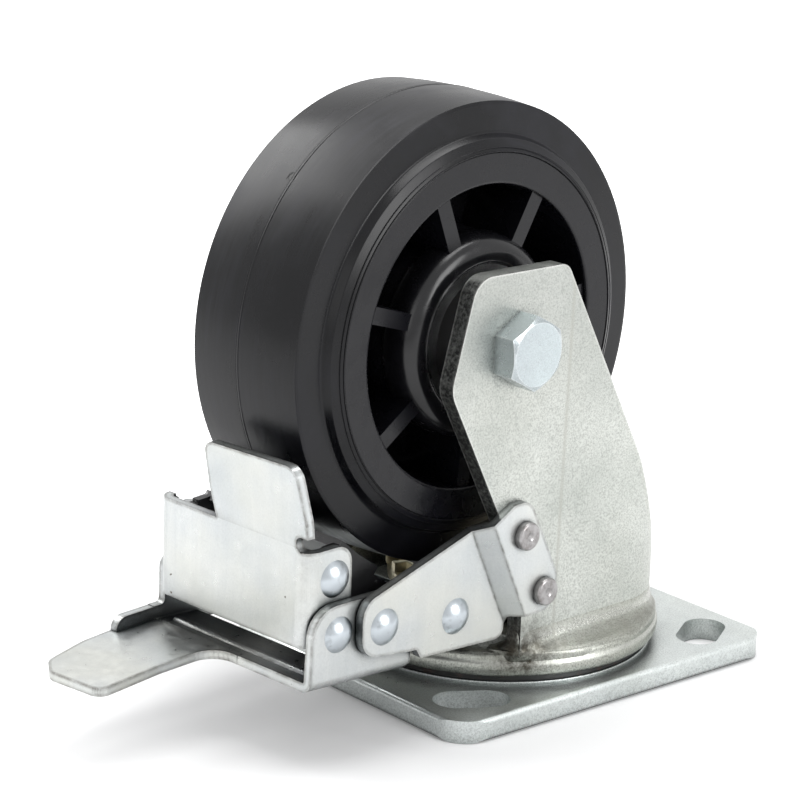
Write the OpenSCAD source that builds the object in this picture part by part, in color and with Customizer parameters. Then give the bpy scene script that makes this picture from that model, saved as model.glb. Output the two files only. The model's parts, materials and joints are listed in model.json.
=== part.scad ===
/* [Mounting plate] */
// Length of the mounting plate
plate_l = 119.1; // [112:0.1:130]
// Width of the mounting plate
plate_w = 101.6; // [96:0.1:120]
// Distance of the plate's middle from the swivel axis, away from the pedal
plate_offset = 2.3; // [0:0.1:3]
// Thickness of the mounting plate
plate_t = 6.35; // [6:0.05:8]
// Corner radius of the mounting plate
plate_corner_r = 10; // [4:0.5:12]
// Rounding of the plate's edges
plate_edge_r = 1.2; // [0.5:0.1:2]
// Distance between the slots' outer ends along the plate
bolt_x_outer = 96; // [92:0.1:98]
// Distance between the slots' outer ends across the plate
bolt_y_outer = 70.4; // [68:0.1:72]
// Distance between the slots' inner ends, the same both ways
bolt_inner = 80; // [78:0.1:81]
// Width of the bolt slots
slot_w = 12; // [9:0.1:13]

/* [Swivel] */
// Radius of the raised race seat on the plate
seat_r = 44.65; // [44.4:0.05:47]
// Height of the raised race seat above the plate
seat_h = 0.85; // [0.4:0.05:1.2]
// Gap between the race seat and the fork crown
swivel_gap = 3; // [2.4:0.1:3.4]
// Diameter of the load balls
load_ball_d = 7.94; // [7.5:0.01:8.2]
// Radius of the load ball circle
load_ball_circle_r = 36; // [35.5:0.1:36.5]
// Number of load balls
load_ball_count = 26; // [18:1:26]
// Diameter of the retaining balls
hold_ball_d = 6.35; // [6:0.01:6.6]
// Radius of the retaining ball circle
hold_ball_circle_r = 25.5; // [25:0.1:26]
// Number of retaining balls
hold_ball_count = 22; // [16:1:23]
// Running clearance of the balls in their grooves
ball_clearance = 0.3; // [0.25:0.05:0.4]
// Diameter of the king pin
king_pin_d = 14; // [12:0.5:15]
// Width across the flats of the king pin's nut
king_nut_af = 21; // [19:0.5:22]
// Number of notches in the swivel lock ring
notch_count = 24; // [12:12:24]
// Width of each notch
notch_w = 6; // [5.5:0.1:6.5]
// Turn of the fork about the swivel axis as the castor stands
swivel_rest = 3.8; // [-15:0.1:15]

/* [Fork] */
// Thickness of the fork's sheet
fork_t = 5; // [4:0.1:5.5]
// Clear width between the two legs
fork_gap = 65; // [63:0.5:68]
// Radius of the round crown
crown_r = 45.5; // [45.3:0.1:48]
// Thickness of the crown's rim
crown_t = 5.5; // [5:0.1:6]
// Height of the raised middle of the crown above its rim
crown_rise = 3; // [2.6:0.1:3.6]
// Swivel lead, from the swivel axis back to the axle
axle_lead = 35.2; // [32:0.1:38]
// Height of the axle above the mounting face
axle_h = 103.5; // [101:0.1:108]
// Outward lean of the legs behind their crease
leg_bulge = 1.5; // [0.5:0.1:2.5]
// Radius of the legs' rear curl at its outer face
leg_curl_r = 24; // [20:0.5:28]

/* [Wheel] */
// Diameter over the tread
wheel_d = 127; // [120:0.5:128]
// Width of the tread
tread_w = 38.8; // [34:0.2:42]
// Drop of the tread from its middle to its shoulders
tread_crown = 0.9; // [0.4:0.1:2]
// Thickness of the tyre's band over the core
band_t = 13.8; // [12:0.1:15]
// Width of the core's rim
rim_w = 48; // [46:0.5:50]
// Diameter of the side pockets
pocket_d = 82.6; // [80:0.2:86]
// Outer diameter of the hub
hub_d = 50.6; // [48:0.2:54]
// Width of the hub over its two lips
hub_w = 49.2; // [48:0.2:52]
// Number of spokes on each side
spoke_count = 7; // [5:1:9]
// Width of a spoke
spoke_w = 4.6; // [3.5:0.1:6]
// Thickness of the web between the two sides
web_t = 5; // [4:0.5:8]
// Turn of the wheel as the castor stands
wheel_turn = 8.3; // [0:0.1:60]

/* [Bearings and axle] */
// Outer diameter of each ball bearing
bearing_od = 40; // [38:0.5:42]
// Bore of each ball bearing
bearing_bore = 17; // [16.5:0.1:18]
// Width of each ball bearing
bearing_w = 12; // [11:0.5:13]
// Number of balls in each bearing
bearing_ball_count = 8; // [6:1:9]
// Diameter of the axle bolt
axle_d = 12; // [11:0.1:12.5]
// Running clearance of the axle and the rivets, on the radius
fit_clearance = 0.05; // [0.02:0.01:0.1]
// Width across the flats of the bolt's head and its nut
axle_af = 18; // [17:0.1:19]
// Height of the bolt's head
axle_head_h = 7.5; // [7:0.1:9]

/* [Brake] */
// Thickness of the brake's sheet
brake_t = 2.5; // [2:0.1:2.6]
// Side clearance between neighbouring brake plates
brake_side_gap = 0.4; // [0.3:0.05:0.5]
// Half width over the pedal's side walls
pedal_half_w = 32.3; // [32.2:0.05:32.4]
// Diameter of the rivets' domed heads
rivet_head_d = 10; // [9:0.1:10.2]
// Diameter of the rivets' shanks
rivet_d = 6; // [5:0.1:6.4]
// Height of the rivets' domed heads
rivet_head_h = 2.4; // [2:0.1:2.8]
// Swing of the pedal from released to braked
pedal_travel = 14; // [10:0.5:14]
// Swing of the brake lever for each degree of the pedal
lever_ratio = 0.3407; // [0.33:0.0001:0.35]
// Room between the shoe and the tread when the brake is on
shoe_gap = 0.9; // [0.8:0.05:1.4]
// Length of the pedal's tongue in front of its web
tongue_l = 42; // [32:0.5:46]
// Width of the pedal's tongue
tongue_w = 27.5; // [22:0.5:30]
// Height of the release tab above its web
tab_h = 21.5; // [14:0.5:21.5]
// Width of the release tab
tab_w = 37; // [30:0.5:42]
// Outward lean of the release tab
tab_lean = 6; // [4:0.5:9]

/* [Hidden] */
$fn = 72;
eps = 0.01;

// Heights of the swivel, from the mounting face up
seat_z = plate_t + seat_h;
crown_z = seat_z + swivel_gap;
crown_top = crown_z + crown_t;
dome_top = crown_top + crown_rise;
load_ball_z = (seat_z + crown_z) / 2;
hat_top = crown_z + 1.5;
hat_r = 20;
head_recess_r = 14.5;
head_recess_h = 6.2;
king_head_r = 12.5;
king_head_h = 5;
king_r = king_pin_d / 2;
cup_neck_r = 16;
cup_floor_t = 3.5;
cup_dish_r = 13.4;
crown_hole_r = cup_neck_r + 1;
hold_ball_z = dome_top + hold_ball_d / 2 - 1.4;
cup_flange_z = dome_top + 2.9;
cup_top = hold_ball_z + hold_ball_d / 2 + 2.5;
cup_r = 30.8;
king_nut_h = cup_top - hat_top - cup_floor_t - 1;
king_end_z = cup_top + 2.8;
ring_t = 3;
ring_r = 31.5;
ring_top = cup_top + ring_t;
notch_depth = 4;

// Fork
face_y = fork_gap / 2 + fork_t;
inner_y = fork_gap / 2;
crease_x = -14.5;
leg_rear_l = 27.7;
leg_curl_sweep = 64;
axle = [-axle_lead, axle_h];

// Wheel
wheel_r = wheel_d / 2;
core_r = wheel_r - band_t;
rim_y = rim_w / 2;
hub_y = hub_w / 2;
pocket_r = pocket_d / 2;
hub_r = hub_d / 2;
bearing_out_y = hub_y - 0.3;
bearing_in_y = bearing_out_y - bearing_w;
bearing_r = bearing_od / 2;
bore_r = bearing_bore / 2;
bearing_pitch_r = (bearing_r + bore_r) / 2;
bearing_ball_r = 3.4;
ring_wall = 3;

// Brake plates, from the outside in
arm_in_y = pedal_half_w + brake_side_gap;
arm_out_y = arm_in_y + brake_t;
pedal_in_y = pedal_half_w - brake_t;
ear_y = pedal_in_y - brake_side_gap;
ear_in_y = ear_y - brake_t;
lever_y = ear_in_y - brake_side_gap;
lever_in_y = lever_y - brake_t;
pad_y = face_y + brake_t;

// Pivots of the brake, as x and z
pedal_pivot = [-78.5, 35.5];
lever_pivot = [-52.2, 32.2];
link_pivot = [-92.2, 35.8];
tab_pivot = [-91.3, 50];
pad_holes = [[-31.8, 51.8], [-23.6, 34.3]];
rivet_r = rivet_d / 2;
rivet_head_r = rivet_head_d / 2;
open_pivot_clearance = 0.2;
lever_travel = pedal_travel * lever_ratio;

// Flat outlines, each point as x, z and corner radius
function unit(v) = v / norm(v);

function corner_arc(p, a, b, r, n) =
    let (
        u = unit([a.x - p.x, a.y - p.y]),
        v = unit([b.x - p.x, b.y - p.y]),
        half = acos(u * v) / 2,
        c = [p.x, p.y] + unit(u + v) * r / sin(half),
        s = [p.x, p.y] + u * r / tan(half) - c,
        e = [p.x, p.y] + v * r / tan(half) - c,
        start = atan2(s.y, s.x),
        turn = atan2(s.x * e.y - s.y * e.x, s * e)
    )
    [for (k = [0:n]) c + r * [cos(start + turn * k / n), sin(start + turn * k / n)]];

function rounded(pts, n = 6) =
    let (count = len(pts))
    [for (i = [0:count - 1])
        let (p = pts[i], a = pts[(i + count - 1) % count], b = pts[(i + 1) % count])
        each (p.z > 0 ? corner_arc(p, a, b, p.z, n) : [[p.x, p.y]])];

// Everything above the swivel stands turned about the swivel axis
module on_fork() {
    rotate([0, 0, swivel_rest]) children();
}

module both_sides() {
    children();
    mirror([0, 1, 0]) children();
}

// A flat outline in x and z, thick from y0 to y1
module side_plate(pts, y0, y1) {
    translate([0, y1, 0]) rotate([90, 0, 0]) linear_extrude(y1 - y0) polygon(pts);
}

// A round bar or hole along y through the point p
module rod(p, r, y0, y1) {
    translate([p.x, y1, p.y]) rotate([90, 0, 0]) cylinder(r = r, h = y1 - y0);
}

// A turned shape about an axis along y through p, drawn as radius and y
module turned(p) {
    translate([p.x, 0, p.y]) rotate([-90, 0, 0]) rotate_extrude() children();
}

// A domed rivet head standing on the face at y, pointing to -y
module dome_head(p, y, r, h) {
    ball_r = (r * r + h * h) / (2 * h);
    translate([p.x, y, p.y]) rotate([90, 0, 0]) rotate_extrude() intersection() {
        translate([0, h - ball_r]) circle(ball_r);
        square([r, h]);
    }
}

// A riveted joint on the right side, with its outer dome and its inner button
module rivet(p, y_out, y_in, head_r = rivet_head_r, tail_r = 4.3, tail_h = 1.3) {
    dome_head(p, -y_out, head_r, rivet_head_h);
    rod(p, rivet_r, -y_out - eps, -y_in + eps);
    rod(p, tail_r, -y_in, -y_in + tail_h);
}

// A plate with rounded corners and rounded edges all round
module soft_plate(l, w, t, r, e) {
    steps = 4;
    intersection() {
        linear_extrude(t) polygon(rounded([[-l / 2, -w / 2, r], [l / 2, -w / 2, r],
            [l / 2, w / 2, r], [-l / 2, w / 2, r]], 10));
        side_plate(rounded([[-l / 2, 0, e], [l / 2, 0, e], [l / 2, t, e], [-l / 2, t, e]], steps), -w, w);
        rotate([0, 0, 90]) side_plate(rounded([[-w / 2, 0, e], [w / 2, 0, e], [w / 2, t, e],
            [-w / 2, t, e]], steps), -l, l);
    }
}

module bolt_slot(sx, sy) {
    outer = [sx * bolt_x_outer / 2, sy * bolt_y_outer / 2];
    inner = [sx * bolt_inner / 2, sy * bolt_inner / 2];
    run = inner - outer;
    end_r = slot_w / 2;
    half_turn = [-90:10:90];
    translate([outer.x, outer.y, -1]) rotate([0, 0, atan2(run.y, run.x)]) linear_extrude(plate_t + 2)
        polygon([for (a = half_turn) [norm(run) + end_r * cos(a), end_r * sin(a)],
            for (a = half_turn) [-end_r * cos(a), -end_r * sin(a)]]);
}

// Pressed plate with the seat and groove of the load race and a hat over the king pin's head
module top_plate() {
    color([0.83, 0.85, 0.84]) difference() {
        union() {
            translate([plate_offset, 0, 0])
                soft_plate(plate_l, plate_w, plate_t, plate_corner_r, plate_edge_r);
            translate([0, 0, plate_edge_r]) rotate_extrude() polygon(rounded([
                [0, 0, 0], [seat_r, 0, 0], [seat_r, seat_z - plate_edge_r, 0.4],
                [hat_r + 1.5, seat_z - plate_edge_r, 0.8], [hat_r, hat_top - plate_edge_r, 1.2],
                [0, hat_top - plate_edge_r, 0]]));
        }
        translate([plate_offset, 0, 0]) for (sx = [-1, 1], sy = [-1, 1]) bolt_slot(sx, sy);
        rotate_extrude() translate([load_ball_circle_r, load_ball_z])
            circle(load_ball_d / 2 + ball_clearance);
        translate([0, 0, -1]) cylinder(r = head_recess_r, h = head_recess_h + 1);
        cylinder(r = king_r + fit_clearance, h = hat_top + 1);
    }
}

module king_pin() {
    color([0.72, 0.74, 0.73]) {
        translate([0, 0, head_recess_h - king_head_h]) rotate_extrude() polygon(rounded([
            [0, 0, 0], [king_head_r, 0, 1.2], [king_head_r, king_head_h, 0], [0, king_head_h, 0]]));
        translate([0, 0, head_recess_h - eps]) rotate_extrude() polygon(rounded([
            [0, 0, 0], [king_r, 0, 0], [king_r, king_end_z - head_recess_h, 1],
            [0, king_end_z - head_recess_h, 0]]));
    }
}

// A hexagon nut blank with its corners chamfered at one end or both
module hex_blank(af, h, chamfer_low, chamfer_high) {
    corner = af / sqrt(3);
    drop = (corner - af / 2) * 0.75;
    intersection() {
        rotate([0, 0, 30]) cylinder(r = corner, h = h, $fn = 6);
        rotate_extrude() polygon([
            [0, 0], [chamfer_low ? af / 2 - 0.4 : corner, 0], [corner, chamfer_low ? drop : 0],
            [corner, chamfer_high ? h - drop : h], [chamfer_high ? af / 2 - 0.4 : corner, h], [0, h]]);
    }
}

module king_pin_nut() {
    color([0.72, 0.74, 0.73]) translate([0, 0, hat_top + cup_floor_t]) difference() {
        hex_blank(king_nut_af, king_nut_h, false, true);
        translate([0, 0, -1]) cylinder(r = king_r + fit_clearance, h = king_nut_h + 2);
    }
}

// Dished lower race, clamped on the hat by the king pin's nut
module race_cup() {
    color([0.78, 0.76, 0.66]) difference() {
        rotate_extrude() polygon(rounded([
            [king_r + fit_clearance, hat_top, 0], [cup_neck_r, hat_top, 1],
            [cup_neck_r, cup_flange_z - 1, 1.5], [cup_neck_r + 4, cup_flange_z, 1.5],
            [cup_r, cup_flange_z, 1], [cup_r, cup_top, 1.5], [cup_dish_r, cup_top, 2],
            [cup_dish_r, hat_top + cup_floor_t, 0], [king_r + fit_clearance, hat_top + cup_floor_t, 0]]));
        rotate_extrude() translate([hold_ball_circle_r, hold_ball_z])
            circle(hold_ball_d / 2 + ball_clearance);
    }
}

// Notched ring that the lever's tooth drops into
module lock_ring() {
    color([0.76, 0.77, 0.72]) on_fork() translate([0, 0, cup_top]) difference() {
        cylinder(r = ring_r, h = ring_t);
        translate([0, 0, -1]) cylinder(r = cup_dish_r + 1.6, h = ring_t + 2);
        for (i = [0:notch_count - 1])
            rotate([0, 0, i * 360 / notch_count])
                translate([ring_r - notch_depth, -notch_w / 2, -1]) cube([notch_depth + 2, notch_w, ring_t + 2]);
    }
}

module ball_circle(r, circle_r, z, count) {
    for (i = [0:count - 1])
        rotate([0, 0, i * 360 / count]) translate([circle_r, 0, z]) sphere(r);
}

module load_balls() {
    color([0.6, 0.61, 0.62]) on_fork()
        ball_circle(load_ball_d / 2, load_ball_circle_r, load_ball_z, load_ball_count);
}

module retaining_balls() {
    color([0.6, 0.61, 0.62]) on_fork()
        ball_circle(hold_ball_d / 2, hold_ball_circle_r, hold_ball_z, hold_ball_count);
}

// Soft ring that closes the gap under the crown's rim
module dust_seal() {
    color([0.06, 0.06, 0.06]) translate([0, 0, seat_z + 0.1]) difference() {
        cylinder(r = seat_r - 0.6, h = swivel_gap - 0.1);
        translate([0, 0, -1]) cylinder(r = load_ball_circle_r + load_ball_d / 2 + 1, h = swivel_gap + 2);
    }
}

// Points along the right leg's outer face from above, moved inwards by d
function leg_path(d) =
    let (
        lean = [cos(leg_bulge), -sin(leg_bulge)],
        across = [sin(leg_bulge), cos(leg_bulge)],
        crease = [crease_x, -face_y],
        curl = crease + leg_rear_l * lean + leg_curl_r * across
    )
    [[axle.x - 30, d - face_y], crease + d * [tan(leg_bulge / 2), 1],
        for (a = [0:4:leg_curl_sweep])
            curl + (leg_curl_r - d) * [sin(a - leg_bulge), -cos(a - leg_bulge)]];

leg_front_low_x = -29;
leg_outline = rounded([
    [leg_front_low_x, crown_top - 0.5, 0], [leg_front_low_x, 38.5, 12],
    [axle.x - 24.3, axle.y - 8, 8], [axle.x - 16, axle.y + 21.3, 7],
    [axle.x + 18.2, axle.y + 20.3, 4.5], [16.3, 62.6, 60], [35, crown_top + 3, 0],
    [35, crown_top - 0.5, 0]], 10);

module right_leg() {
    outer = leg_path(0);
    inner = leg_path(fork_t);
    intersection() {
        linear_extrude(axle.y + 40) polygon([each outer, for (i = [len(inner) - 1:-1:0]) inner[i]]);
        side_plate(leg_outline, -face_y - 6, 0);
    }
}

// Pressed fork in one piece, a round crown with its two ball grooves and two legs
module fork() {
    color([0.84, 0.86, 0.84]) on_fork() difference() {
        union() {
            rotate_extrude() polygon(rounded([
                [crown_hole_r, crown_z + crown_rise, 0], [30, crown_z + crown_rise, 1.5], [30, crown_z, 0.6],
                [crown_r, crown_z, 1.2], [crown_r, crown_top, 1.6], [crown_r - 5.2, crown_top, 2.5],
                [crown_r - 6.6, dome_top, 2], [crown_hole_r, dome_top, 1]]));
            both_sides() right_leg();
        }
        rotate_extrude() translate([load_ball_circle_r, load_ball_z])
            circle(load_ball_d / 2 + ball_clearance);
        rotate_extrude() translate([hold_ball_circle_r, hold_ball_z])
            circle(hold_ball_d / 2 + ball_clearance);
        rod(axle, axle_d / 2 + fit_clearance, -face_y - 1, face_y + 1);
        both_sides() for (p = pad_holes) rod(p, rivet_r + fit_clearance, -face_y - 1, -inner_y + 1);
    }
}

module axle_bolt() {
    shank_end = face_y + 13.5;
    color([0.8, 0.83, 0.84]) on_fork() translate([axle.x, 0, axle.y]) {
        translate([0, -face_y, 0]) rotate([90, 0, 0]) hex_blank(axle_af, axle_head_h, false, true);
        translate([0, -face_y - eps, 0]) rotate([-90, 0, 0]) rotate_extrude() polygon(rounded([
            [0, 0, 0], [axle_d / 2, 0, 0], [axle_d / 2, shank_end + face_y, 1.2], [0, shank_end + face_y, 0]]));
    }
}

// Locking nut with a round collar
module axle_nut() {
    nut_h = 8;
    collar_h = 3.2;
    color([0.8, 0.83, 0.84]) on_fork() translate([axle.x, face_y, axle.y]) rotate([-90, 0, 0]) difference() {
        union() {
            hex_blank(axle_af, nut_h, true, false);
            rotate_extrude() polygon(rounded([
                [0, 0, 0], [axle_af / 2 - 0.3, 0, 0], [axle_af / 2 - 0.3, nut_h + collar_h, 1.4],
                [0, nut_h + collar_h, 0]]));
        }
        translate([0, 0, -1]) cylinder(r = axle_d / 2 + fit_clearance, h = nut_h + collar_h + 2);
    }
}

// A tube about the axle between two distances from the wheel's middle
module axle_tube(r_in, r_out, y0, y1) {
    difference() {
        rod(axle, r_out, y0, y1);
        rod(axle, r_in, y0 - 1, y1 + 1);
    }
}

module axle_sleeve() {
    color([0.7, 0.71, 0.72]) on_fork()
        axle_tube(axle_d / 2 + fit_clearance, bore_r - fit_clearance, -inner_y, inner_y);
}

module spacer_right() {
    color([0.74, 0.75, 0.76]) on_fork() axle_tube(bore_r, bore_r + 3.2, -inner_y, -bearing_out_y);
}

module spacer_left() {
    color([0.74, 0.75, 0.76]) on_fork() axle_tube(bore_r, bore_r + 3.2, bearing_out_y, inner_y);
}

// One bearing ring on the right side, grooved for its balls
module bearing_ring(r_in, r_out) {
    difference() {
        axle_tube(r_in, r_out, -bearing_out_y, -bearing_in_y);
        turned(axle) translate([bearing_pitch_r, -(bearing_out_y + bearing_in_y) / 2])
            circle(bearing_ball_r + ball_clearance);
    }
}

module bearing_inner_right() {
    color([0.68, 0.69, 0.7]) on_fork() bearing_ring(bore_r, bore_r + ring_wall);
}

module bearing_inner_left() {
    color([0.68, 0.69, 0.7]) on_fork() mirror([0, 1, 0]) bearing_ring(bore_r, bore_r + ring_wall);
}

module bearing_outer_right() {
    color([0.68, 0.69, 0.7]) on_fork() bearing_ring(bearing_r - ring_wall, bearing_r);
}

module bearing_outer_left() {
    color([0.68, 0.69, 0.7]) on_fork() mirror([0, 1, 0]) bearing_ring(bearing_r - ring_wall, bearing_r);
}

module bearing_balls() {
    color([0.6, 0.61, 0.62]) on_fork() both_sides() for (i = [0:bearing_ball_count - 1]) {
        turn = i * 360 / bearing_ball_count;
        translate([axle.x + bearing_pitch_r * cos(turn), -(bearing_out_y + bearing_in_y) / 2,
            axle.y + bearing_pitch_r * sin(turn)]) sphere(bearing_ball_r);
    }
}

// Thin shields that close both bearings on their outer side
module bearing_seals() {
    color([0.07, 0.07, 0.07]) on_fork() both_sides()
        axle_tube(bore_r + ring_wall + 0.25, bearing_r - ring_wall - fit_clearance,
            -bearing_out_y, -bearing_out_y + 0.9);
}

// Stepped hub, rim and web on the right half, drawn as radius and distance from the middle
module wheel_core() {
    lip_r = 1.6;
    color([0.05, 0.05, 0.055]) on_fork() union() {
            turned(axle) for (s = [0, 1]) mirror([0, s]) polygon(rounded([
                [12, -eps, 0], [core_r, -eps, 0], [core_r, rim_y, 0.3], [pocket_r, rim_y, 0.9],
                [pocket_r - 1.2, web_t / 2, 3], [hub_r + 2.4, web_t / 2, 3], [hub_r + 1.8, rim_y - 2.2, 0.6],
                [hub_r, rim_y - 2.2, 0.4], [hub_r, hub_y, lip_r], [bearing_r, hub_y, 0.6],
                [bearing_r, bearing_in_y, 0], [12, bearing_in_y, 0]]));
            both_sides() for (i = [0:spoke_count - 1])
                translate([axle.x, 0, axle.y]) rotate([0, -wheel_turn - i * 360 / spoke_count, 0])
                    translate([hub_r + 0.5, -rim_y + 1.3, -spoke_w / 2])
                        cube([pocket_r - hub_r, rim_y - 1.3, spoke_w]);
    }
}

// Moulded tyre, crowned over the tread and stepped down its sides
module tyre() {
    shoulder_y = tread_w / 2;
    crown_arc_r = (shoulder_y * shoulder_y + tread_crown * tread_crown) / (2 * tread_crown);
    color([0.06, 0.06, 0.065]) on_fork() turned(axle) intersection() {
        polygon(rounded([
            [core_r, -rim_y, 0.3], [core_r + 3.5, -rim_y + 1.6, 0.5], [core_r + 4.6, -shoulder_y - 0.6, 0.8],
            [wheel_r + 0.5, -shoulder_y, 2.4], [wheel_r + 0.5, shoulder_y, 2.4],
            [core_r + 4.6, shoulder_y + 0.6, 0.8], [core_r + 3.5, rim_y - 1.6, 0.5], [core_r, rim_y, 0.3]]));
        translate([wheel_r - crown_arc_r, 0]) circle(crown_arc_r, $fn = 360);
    }
}

// Joggled arm, riveted on the leg and stepped in beside it to carry both pivots
bend_angle = 25.2;
bend_u_arm = -18.3;
bend_u_pad = -14.3;
arm_outline = rounded([
    [-86.4, 28.4, 6], [-69.3, 26.4, 0.6], [-66.4, 26.2, 0.8], [-64.9, 23.5, 0.8], [-33.6, 21.7, 3],
    [-33.4, 28.1, 0.5], [-20.4, 28.4, 4], [-18, 37.6, 5], [-29.9, 61.2, 5], [-36, 61, 3],
    [-47, 55, 3], [-86.4, 43.2, 6]], 8);

module arm_section() {
    // The bend's section as distance along the plate and distance outwards
    polygon([[-80, arm_in_y], [bend_u_arm, arm_in_y], [bend_u_pad, face_y], [60, face_y],
        [60, pad_y], [bend_u_pad - 1, pad_y], [bend_u_arm - 1, arm_out_y], [-80, arm_out_y]]);
}

module right_arm() {
    difference() {
        intersection() {
            side_plate(arm_outline, -pad_y - 1, 0);
            rotate([0, -bend_angle, 0]) translate([0, 0, -90]) linear_extrude(220) scale([1, -1]) arm_section();
        }
        rod(pedal_pivot, rivet_r + fit_clearance, -60, 0);
        rod(lever_pivot, rivet_r + fit_clearance, -60, 0);
        for (p = pad_holes) rod(p, rivet_r + fit_clearance, -60, 0);
    }
}

module bracket_arm_right() {
    color([0.85, 0.88, 0.9]) on_fork() right_arm();
}

module bracket_arm_left() {
    color([0.85, 0.88, 0.9]) on_fork() mirror([0, 1, 0]) right_arm();
}

// Flat-headed rivets with a dimple, two through each arm and leg
module bracket_rivets() {
    head_r = 3.9;
    color([0.76, 0.78, 0.8]) on_fork() both_sides() for (p = pad_holes) {
        translate([p.x, -pad_y, p.y]) rotate([90, 0, 0]) difference() {
            rotate_extrude() polygon(rounded([[0, 0, 0], [head_r, 0, 0], [head_r, 2.2, 0.7], [0, 2.2, 0]]));
            translate([0, 0, 2.2 + 2]) sphere(2.4);
        }
        rod(p, rivet_r, -pad_y - eps, -inner_y + eps);
        rod(p, 4, -inner_y, -inner_y + 0.8);
    }
}

module pedal_rivets() {
    color([0.78, 0.81, 0.84]) on_fork() both_sides()
        rivet(pedal_pivot, arm_out_y, pedal_in_y - 0.1);
}

module link_rivets() {
    tail_h = 1.2;
    color([0.78, 0.81, 0.84]) on_fork() {
        rivet(link_pivot, pedal_half_w, ear_in_y - 0.1, rivet_head_r - 0.1, 4, tail_h);
        // the left one has a low flat head
        rod(link_pivot, rivet_r, ear_in_y - 0.1 - tail_h, pedal_half_w + 1);
        rod(link_pivot, 4, pedal_half_w, pedal_half_w + 1);
        rod(link_pivot, 4, ear_in_y - 0.1 - tail_h, ear_in_y - 0.1);
    }
}

module tab_rivets() {
    color([0.78, 0.81, 0.84]) on_fork() both_sides()
        rivet(tab_pivot, ear_y, lever_in_y - 0.1, rivet_head_r, 4.2, 1.3);
}

// Long pin through both arms and the brake lever
module lever_pin() {
    color([0.78, 0.81, 0.84]) on_fork() {
        rod(lever_pivot, rivet_r, -arm_out_y - eps, arm_out_y + eps);
        both_sides() dome_head(lever_pivot, -arm_out_y, rivet_head_r, rivet_head_h);
    }
}

module lever_bushes() {
    color([0.66, 0.67, 0.66]) on_fork() both_sides() difference() {
        rod(lever_pivot, rivet_r + 2, -arm_in_y, -lever_y - 0.1);
        rod(lever_pivot, rivet_r + fit_clearance, -arm_in_y - 1, -lever_y + 1);
    }
}

// Section of a bent channel, open upwards, as y and z
module channel_section(half_w, h, t, r) {
    difference() {
        union() {
            translate([-half_w, r]) square([2 * half_w, h - r]);
            translate([-half_w + r, 0]) square([2 * (half_w - r), h]);
            for (s = [-1, 1]) translate([s * (half_w - r), r]) circle(r);
        }
        translate([-half_w + t, r]) square([2 * (half_w - t), h]);
        translate([-half_w + r, t]) square([2 * (half_w - r), h]);
        for (s = [-1, 1]) translate([s * (half_w - r), r]) circle(r - t);
    }
}

// Lower pedal, a channel round the release tab with a foot tongue on its left half
pedal_front_x = -101.8;
pedal_rear_x = -65.8;
pedal_low_front_z = 21.5;
pedal_low_rear_z = 19.8;
pedal_web_rear_x = -86;
pedal_bend_r = 3;
pedal_slope = atan2(pedal_low_front_z - pedal_low_rear_z, pedal_rear_x - pedal_front_x);
tongue_slope = 2.2;
lip_front_x = -114.5;
lip_top_z = 27.8;
pedal_side = rounded([
    [pedal_front_x, pedal_low_front_z, 0], [pedal_rear_x, pedal_low_rear_z, 2.5], [pedal_rear_x, 26, 3],
    [pedal_pivot.x + 8.6, pedal_pivot.y + 8.2, 8], [pedal_front_x + 0.8, link_pivot.y + 8.2, 8.2]], 8);
tongue_side = pedal_half_w - 0.15;
tongue_plan = rounded([
    [pedal_front_x - 0.5, tongue_side, 0], [pedal_front_x + 2, pedal_half_w - pedal_bend_r - 0.5, 0],
    [pedal_front_x + 2, pedal_half_w - tongue_w - 9, 0],
    [pedal_front_x, pedal_half_w - tongue_w - 9, 0], [pedal_front_x, pedal_half_w - tongue_w, 7],
    [pedal_front_x - tongue_l * 0.45, pedal_half_w - tongue_w, 20],
    [pedal_front_x - tongue_l * 0.96, pedal_half_w - tongue_w - 2, 3.5],
    [pedal_front_x - tongue_l, pedal_half_w - 11, 5], [pedal_front_x - tongue_l * 0.9, pedal_half_w - 5, 6],
    [pedal_front_x - tongue_l * 0.55, pedal_half_w - 1, 20], [lip_front_x, tongue_side, 0]], 8);

module pedal_channel() {
    depth = 60;
    intersection() {
        side_plate(pedal_side, -pedal_half_w - 1, pedal_half_w + 1);
        translate([pedal_front_x - 1, 0, pedal_low_front_z + tan(pedal_slope)])
            rotate([0, pedal_slope, 0]) rotate([90, 0, 90]) linear_extrude(depth)
                channel_section(pedal_half_w, 60, brake_t, pedal_bend_r);
    }
}

module pedal() {
    color([0.85, 0.88, 0.9]) on_fork() difference() {
        union() {
            pedal_channel();
            // foot tongue, bent a little down from the web
            translate([pedal_front_x, 0, pedal_low_front_z]) rotate([0, -tongue_slope, 0])
                translate([-pedal_front_x, 0, 0]) linear_extrude(brake_t) polygon(tongue_plan);
            // low lip that runs on from the left wall
            side_plate(rounded([[pedal_front_x + 5, pedal_low_front_z + 0.8, 0], [pedal_front_x + 5, lip_top_z, 0],
                [lip_front_x, lip_top_z - 0.6, 3.5], [lip_front_x, pedal_low_front_z + 0.5, 0]]), pedal_in_y, pedal_half_w);
            // pressed bead across the web
            translate([pedal_front_x + 6, pedal_in_y - 3, pedal_low_front_z + 1.2])
                rotate([90, 0, 0]) cylinder(r = 2, h = 2 * pedal_in_y - 6);
        }
        // open behind the web
        translate([pedal_web_rear_x, -pedal_in_y, 0]) cube([40, 2 * pedal_in_y, 34]);
        // the left wall is cut back above its lip to a small eye
        side_plate(rounded([[pedal_front_x - 2, lip_top_z, 0], [link_pivot.x - 5.5, lip_top_z, 1.5],
            [link_pivot.x - 5.5, link_pivot.y + 3, 3], [link_pivot.x - 1, link_pivot.y + 9, 0],
            [pedal_front_x - 2, link_pivot.y + 10, 0]]), pedal_in_y - eps, pedal_half_w + 1);
        rod(pedal_pivot, rivet_r + fit_clearance, -60, 60);
        rod(link_pivot, rivet_r + fit_clearance, -60, 60);
    }
}

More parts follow.
